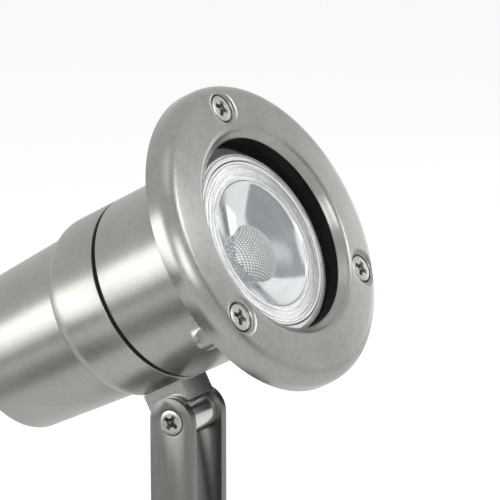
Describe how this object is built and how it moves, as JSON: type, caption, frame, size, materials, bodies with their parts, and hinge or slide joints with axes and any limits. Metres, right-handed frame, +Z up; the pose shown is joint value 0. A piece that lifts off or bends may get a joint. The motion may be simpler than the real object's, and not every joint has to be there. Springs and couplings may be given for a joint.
{
  "type": "garden spike spotlight",
  "caption": "Steel garden spotlight with a round screwed bezel and reflector lamp, on a tilting knuckle and turning yoke above a ground spike.",
  "frame": {"origin": "on the spike's axis at soil level, the underside of the spike's collar", "axes": "+Z up, the lamp aims towards -Y and upwards, the tilt pivot lies along X"},
  "size_m": [0.0892, 0.1289, 0.3278],
  "materials": {
    "bezel_steel": "brushed, slightly grained face",
    "tube_steel": "brushed round the tube",
    "block_steel": "satin",
    "yoke_steel": "satin",
    "screw_steel": "satin",
    "plate_steel": "plain sheet",
    "pane_glass": "clear polished",
    "seal_rubber": "matt",
    "collar_clear": "clear, milky at the edge",
    "lamp_white": "smooth",
    "optic_clear": "clear with fine rings",
    "dome_clear": "clear honeycomb",
    "board_yellow": "printed board",
    "pin_metal": "plated",
    "ceramic_white": "unglazed ceramic",
    "terminal_white": "moulded",
    "terminal_brass": "plain",
    "gland_metal": "turned",
    "spike_plastic": "moulded, slightly grained"
  },
  "bodies": {
    "spike": {"ground_spike": "spike_plastic", "spike_insert": "terminal_brass", "yoke_bolt": "screw_steel", "plain_washer": "screw_steel", "split_washer": "screw_steel"},
    "yoke": {"yoke": "yoke_steel", "pivot_screw": "screw_steel"},
    "head": {"bezel_ring": "bezel_steel", "bezel_screws": "screw_steel", "front_glass": "pane_glass", "glass_seal": "seal_rubber", "front_housing": "tube_steel", "joint_seal": "seal_rubber", "rear_housing": "tube_steel", "knuckle_block": "block_steel", "lamp_collar": "collar_clear", "lamp_shell": "lamp_white", "lamp_optic": "optic_clear", "lamp_dome": "dome_clear", "led_board": "board_yellow", "lamp_base": "lamp_white", "lamp_pins": "pin_metal", "lamp_holder": "ceramic_white", "holder_plate": "plate_steel", "holder_screws": "screw_steel", "terminal_block": "terminal_white", "terminal_screws": "terminal_brass", "earth_screw": "terminal_brass", "gland_body": "gland_metal", "gland_locknut": "gland_metal", "gland_seal": "seal_rubber", "gland_nut": "gland_metal"}
  },
  "joints": [
    {"name": "yoke_pan", "type": "hinge", "parent": "spike", "child": "yoke", "pos_m": [0, 0, 0.0065], "axis": [0, 0, 1], "range_deg": [-180, 180]},
    {"name": "head_tilt", "type": "hinge", "parent": "yoke", "child": "head", "pos_m": [0, 0, 0.052], "axis": [-1, 0, 0], "range_deg": [-68.6, 31.4]}
  ]
}
